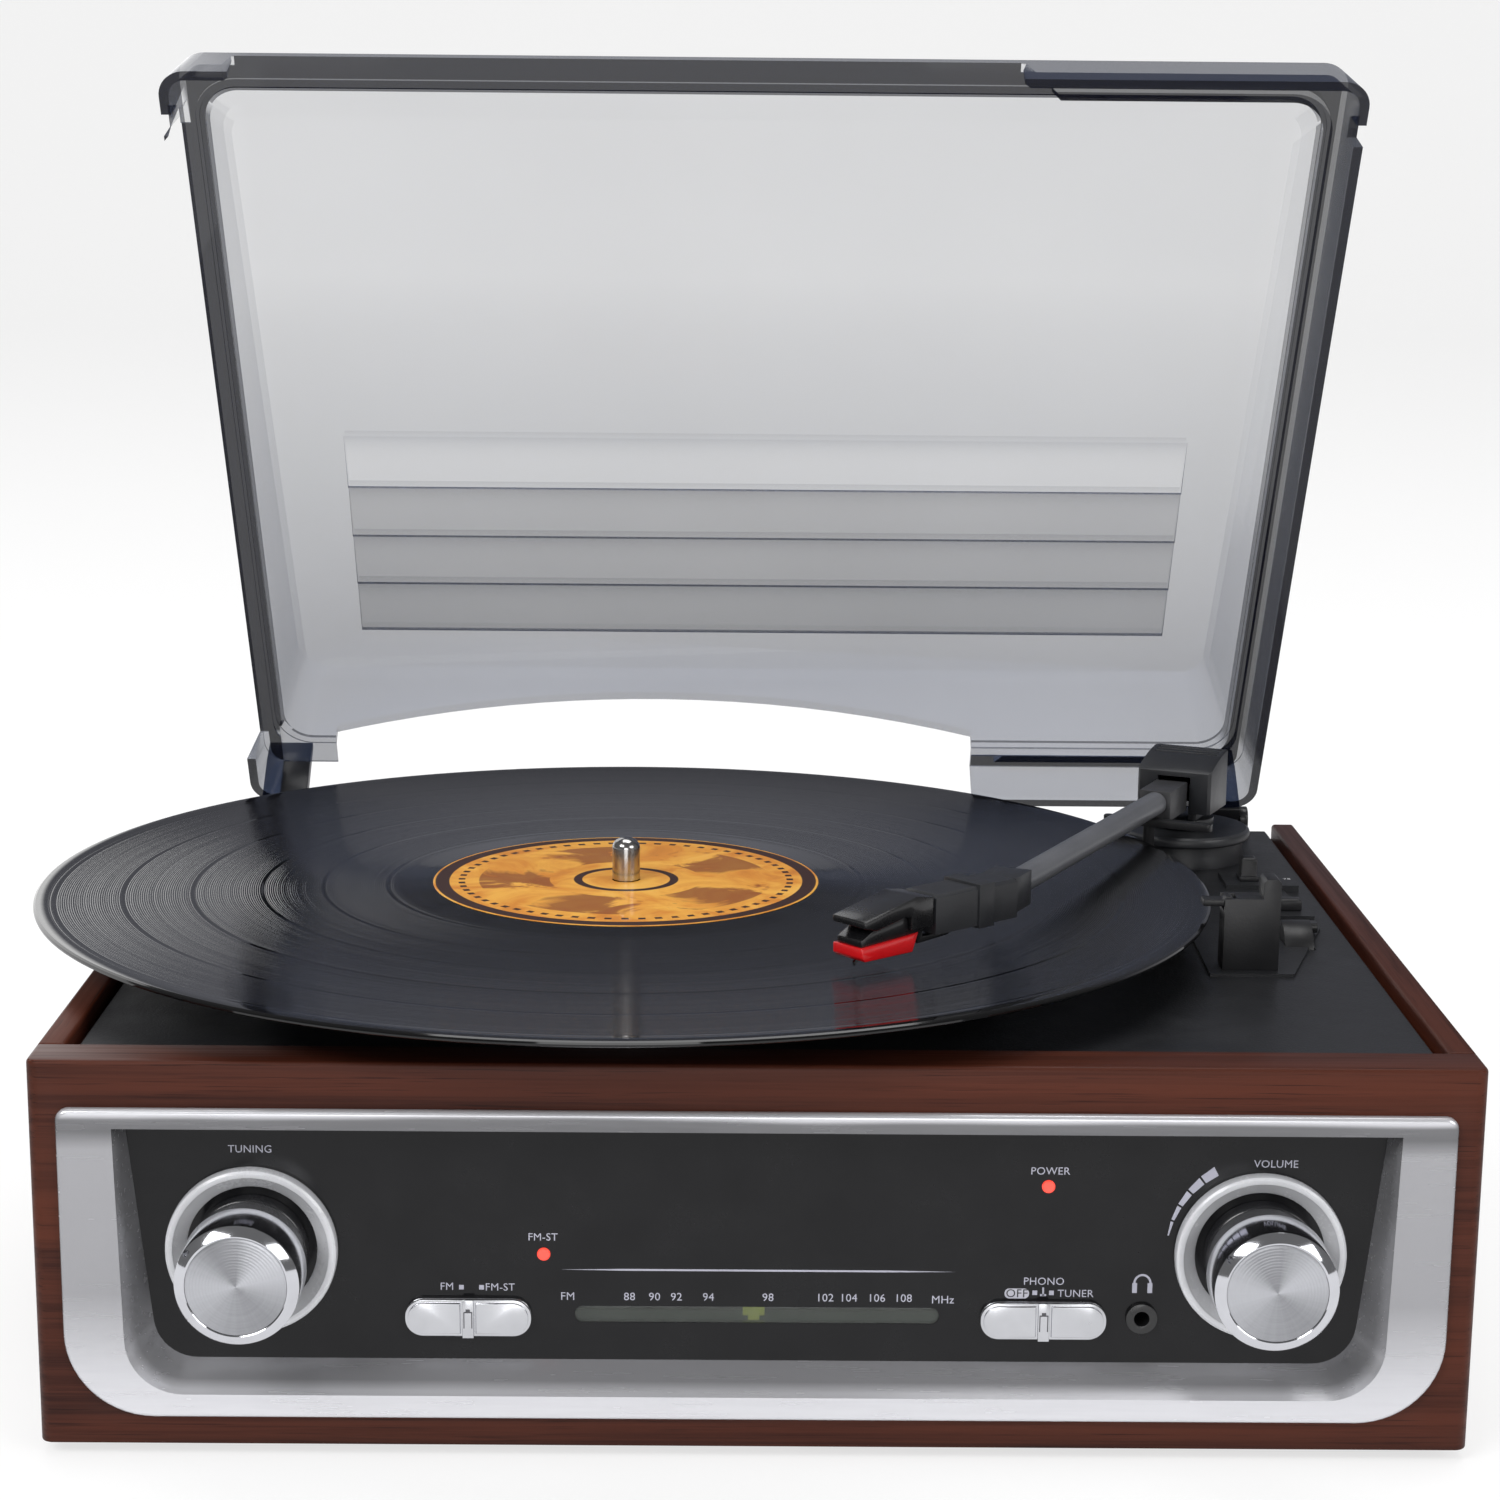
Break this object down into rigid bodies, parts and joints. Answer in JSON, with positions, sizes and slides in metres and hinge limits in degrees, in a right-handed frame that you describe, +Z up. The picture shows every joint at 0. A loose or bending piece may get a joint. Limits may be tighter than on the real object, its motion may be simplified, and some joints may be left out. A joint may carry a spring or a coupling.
{
  "type": "turntable with radio",
  "caption": "Veneered record player with a silver framed radio panel, two chrome knobs, a platter with a record, a straight tone arm and a hinged smoked clear lid.",
  "frame": {"origin": "on the floor under the middle of the whole, with the record on the platter and the lid open", "axes": "+X to the viewer's right along the front, +Y away from the viewer, +Z up along the spindle"},
  "size_m": [0.3474, 0.3035, 0.3142],
  "materials": {
    "veneer": "dark reddish wood veneer, satin",
    "panel_board_black": "black-faced fibreboard",
    "frame_wood": "bare softwood",
    "foot_rubber": "black rubber",
    "screw_steel": "bright steel",
    "deck_black": "satin black plastic",
    "motor_steel": "plated steel",
    "belt_rubber": "black rubber",
    "pulley_brass": "turned brass",
    "platter_metal": "dark painted aluminium",
    "mat_rubber": "black felt-like rubber mat",
    "record_vinyl": "grooved black vinyl",
    "label_orange": "printed paper label, orange",
    "bezel_silver": "brushed silver frame",
    "fascia_gloss": "glossy black plate",
    "window_clear": "dark clear window",
    "pointer_lime": "lime pointer",
    "knob_chrome": "chromed plastic with a spun face",
    "slider_silver": "silver plastic",
    "lamp_red": "red lamp lens",
    "jack_black": "black moulded plastic",
    "board_green": "green circuit board",
    "tube_grey": "dark grey painted tube",
    "cartridge_black": "black plastic",
    "stylus_red": "red plastic",
    "stylus_steel": "bright steel",
    "lid_smoke": "smoked clear acrylic"
  },
  "bodies": {
    "cabinet": {"front_board": "veneer", "left_board": "veneer", "right_board": "veneer", "back_panel": "panel_board_black", "base_plate": "panel_board_black", "rubber_feet": "foot_rubber", "base_screws": "screw_steel", "inner_frame": "frame_wood", "deck_plate": "deck_black", "bearing_bush": "screw_steel", "motor": "motor_steel", "drive_belt": "belt_rubber", "arm_turret": "deck_black", "arm_rest": "deck_black", "bezel": "bezel_silver", "fascia": "fascia_gloss", "dial_window": "window_clear", "pointer_rail": "screw_steel", "knob_dishes": "bezel_silver", "tuner_box": "motor_steel", "volume_control": "motor_steel", "switch_plates": "slider_silver", "slide_switches": "deck_black", "headphone_jack": "jack_black", "indicator_lamps": "lamp_red", "panel_board": "board_green", "main_board": "board_green", "power_transformer": "motor_steel", "speakers": "jack_black", "rear_jacks": "jack_black", "cord_gland": "jack_black", "hinge_brackets": "deck_black"},
    "turntable": {"platter": "platter_metal", "slip_mat": "mat_rubber", "spindle": "screw_steel", "record": "record_vinyl", "record_label": "label_orange"},
    "motor_rotor": {"motor_pulley": "pulley_brass"},
    "arm_base": {"arm_yoke": "deck_black", "arm_pin": "screw_steel", "arm_cover": "deck_black"},
    "arm": {"arm_block": "deck_black", "arm_tube": "tube_grey", "head_socket": "deck_black", "headshell": "deck_black", "cartridge": "cartridge_black", "stylus_holder": "stylus_red", "stylus": "stylus_steel"},
    "keeper": {"arm_keeper": "deck_black"},
    "cue": {"cue_lever": "deck_black"},
    "platform": {"lift_platform": "deck_black"},
    "speed_switch": {"speed_knob": "deck_black"},
    "stop_switch": {"stop_knob": "deck_black"},
    "tuning": {"tuning_knob": "knob_chrome"},
    "pointer": {"dial_pointer": "pointer_lime"},
    "volume": {"volume_knob": "knob_chrome"},
    "function": {"function_slider": "slider_silver"},
    "mode": {"mode_slider": "slider_silver"},
    "cover_lid": {"lid": "lid_smoke", "hinge_leaves": "deck_black"}
  },
  "joints": [
    {"name": "lid_hinge", "type": "hinge", "parent": "cabinet", "child": "cover_lid", "pos_m": [0.01135, 0.1254, 0.0964], "axis": [-1, 0, 0], "range_deg": [-61.7, 0]},
    {"name": "platter_spin", "type": "hinge", "parent": "cabinet", "child": "turntable", "pos_m": [-0.02295, 0, 0.1], "axis": [0, 0, 1], "continuous": true},
    {"name": "motor_spin", "type": "hinge", "parent": "cabinet", "child": "motor_rotor", "pos_m": [0.01835, 0.05898, 0.097], "axis": [0, 0, 1], "continuous": true},
    {"name": "arm_swing", "type": "hinge", "parent": "cabinet", "child": "arm_base", "pos_m": [0.13455, 0.0909, 0.102], "axis": [0, 0, 1], "range_deg": [-15.5, 23.7]},
    {"name": "arm_lift", "type": "hinge", "parent": "arm_base", "child": "arm", "pos_m": [0.13455, 0.0909, 0.1128], "axis": [-0.9114, 0.4115, 0], "range_deg": [0, 12]},
    {"name": "keeper_turn", "type": "hinge", "parent": "cabinet", "child": "keeper", "pos_m": [0.12855, -0.0336, 0.1094], "axis": [0, 1, 0], "range_deg": [0, 90]},
    {"name": "cue_turn", "type": "hinge", "parent": "cabinet", "child": "cue", "pos_m": [0.15115, -0.0036, 0.0873], "axis": [1, 0, 0], "range_deg": [0, 50]},
    {"name": "platform_slide", "type": "slide", "parent": "cabinet", "child": "platform", "axis": [0, 0, 1], "range_m": [-0.0016, 0]},
    {"name": "speed_select", "type": "slide", "parent": "cabinet", "child": "speed_switch", "axis": [1, 0, 0], "range_m": [0, 0.006]},
    {"name": "auto_stop", "type": "slide", "parent": "cabinet", "child": "stop_switch", "axis": [0, 1, 0], "range_m": [0, 0.005]},
    {"name": "tuning_turn", "type": "hinge", "parent": "cabinet", "child": "tuning", "pos_m": [-0.10405, -0.1396, 0.0478], "axis": [0, 1, 0], "range_deg": [-140, 140]},
    {"name": "pointer_slide", "type": "slide", "parent": "cabinet", "child": "pointer", "axis": [1, 0, 0], "range_m": [-0.0381, 0.0381]},
    {"name": "volume_turn", "type": "hinge", "parent": "cabinet", "child": "volume", "pos_m": [0.12515, -0.1396, 0.0478], "axis": [0, 1, 0], "range_deg": [-124, 176]},
    {"name": "function_switch", "type": "slide", "parent": "cabinet", "child": "function", "axis": [1, 0, 0], "range_m": [-0.0025, 0.0025]},
    {"name": "mode_switch", "type": "slide", "parent": "cabinet", "child": "mode", "axis": [1, 0, 0], "range_m": [-0.002, 0.002]}
  ],
  "couplings": [
    {"joint": "motor_spin", "follows": "platter_spin", "ratio": 10.909},
    {"joint": "pointer_slide", "follows": "tuning_turn", "m_per_rad": 0.01555}
  ]
}
